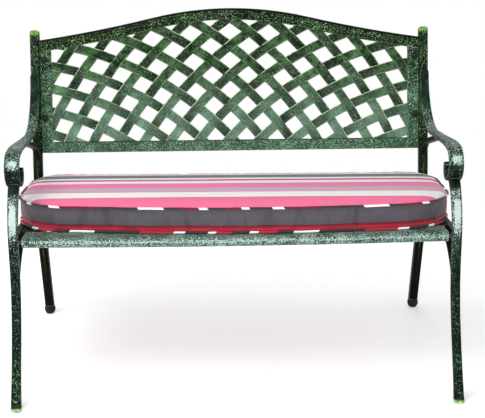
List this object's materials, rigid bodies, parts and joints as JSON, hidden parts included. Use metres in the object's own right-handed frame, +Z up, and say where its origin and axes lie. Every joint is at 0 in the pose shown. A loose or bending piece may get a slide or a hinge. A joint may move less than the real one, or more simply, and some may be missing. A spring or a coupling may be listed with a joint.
{
  "type": "garden bench",
  "caption": "Cast metal garden bench with scrolled arms, an arched woven lattice back, a lattice seat and a loose striped cushion with piped edges.",
  "frame": {"origin": "bottom centre of the bench, on the floor", "axes": "+X along the bench to the right as seen from the front, -Y to the front, +Z up"},
  "size_m": [1.096, 0.6688, 0.8712],
  "materials": {
    "cast_metal": "cast aluminium painted dark green, with brushed pale green highlights",
    "fasteners": "blackened steel",
    "glides": "moulded plastic",
    "cushion_fabric": "woven striped cotton",
    "piping_fabric": "fabric piping"
  },
  "bodies": {
    "bench": {"back_bolt_nuts": "fasteners", "back_bolt_washers": "fasteners", "back_bolts": "fasteners", "back_bottom_rail": "cast_metal", "back_lattice_falling": "cast_metal", "back_lattice_rising": "cast_metal", "back_top_rail": "cast_metal", "front_foot_glides": "glides", "left_arm": "cast_metal", "left_arm_brace": "cast_metal", "left_back_stile": "cast_metal", "left_front_leg": "cast_metal", "left_leg_brace": "cast_metal", "left_rear_post": "cast_metal", "left_seat_bearer": "cast_metal", "left_seat_side_rail": "cast_metal", "rear_foot_glides": "glides", "right_arm": "cast_metal", "right_arm_brace": "cast_metal", "right_back_stile": "cast_metal", "right_front_leg": "cast_metal", "right_leg_brace": "cast_metal", "right_rear_post": "cast_metal", "right_seat_bearer": "cast_metal", "right_seat_side_rail": "cast_metal", "seat_bolt_washers": "fasteners", "seat_bolts": "fasteners", "seat_front_rail": "cast_metal", "seat_lattice_falling": "cast_metal", "seat_lattice_rising": "cast_metal", "seat_rear_rail": "cast_metal"},
    "cushion": {"cushion_bottom_piping": "piping_fabric", "cushion_pad": "cushion_fabric", "cushion_top_piping": "piping_fabric"}
  },
  "joints": [
    {"name": "cushion_lift", "type": "slide", "parent": "bench", "child": "cushion", "axis": [0, 0, 1], "range_m": [0, 0.04]}
  ]
}
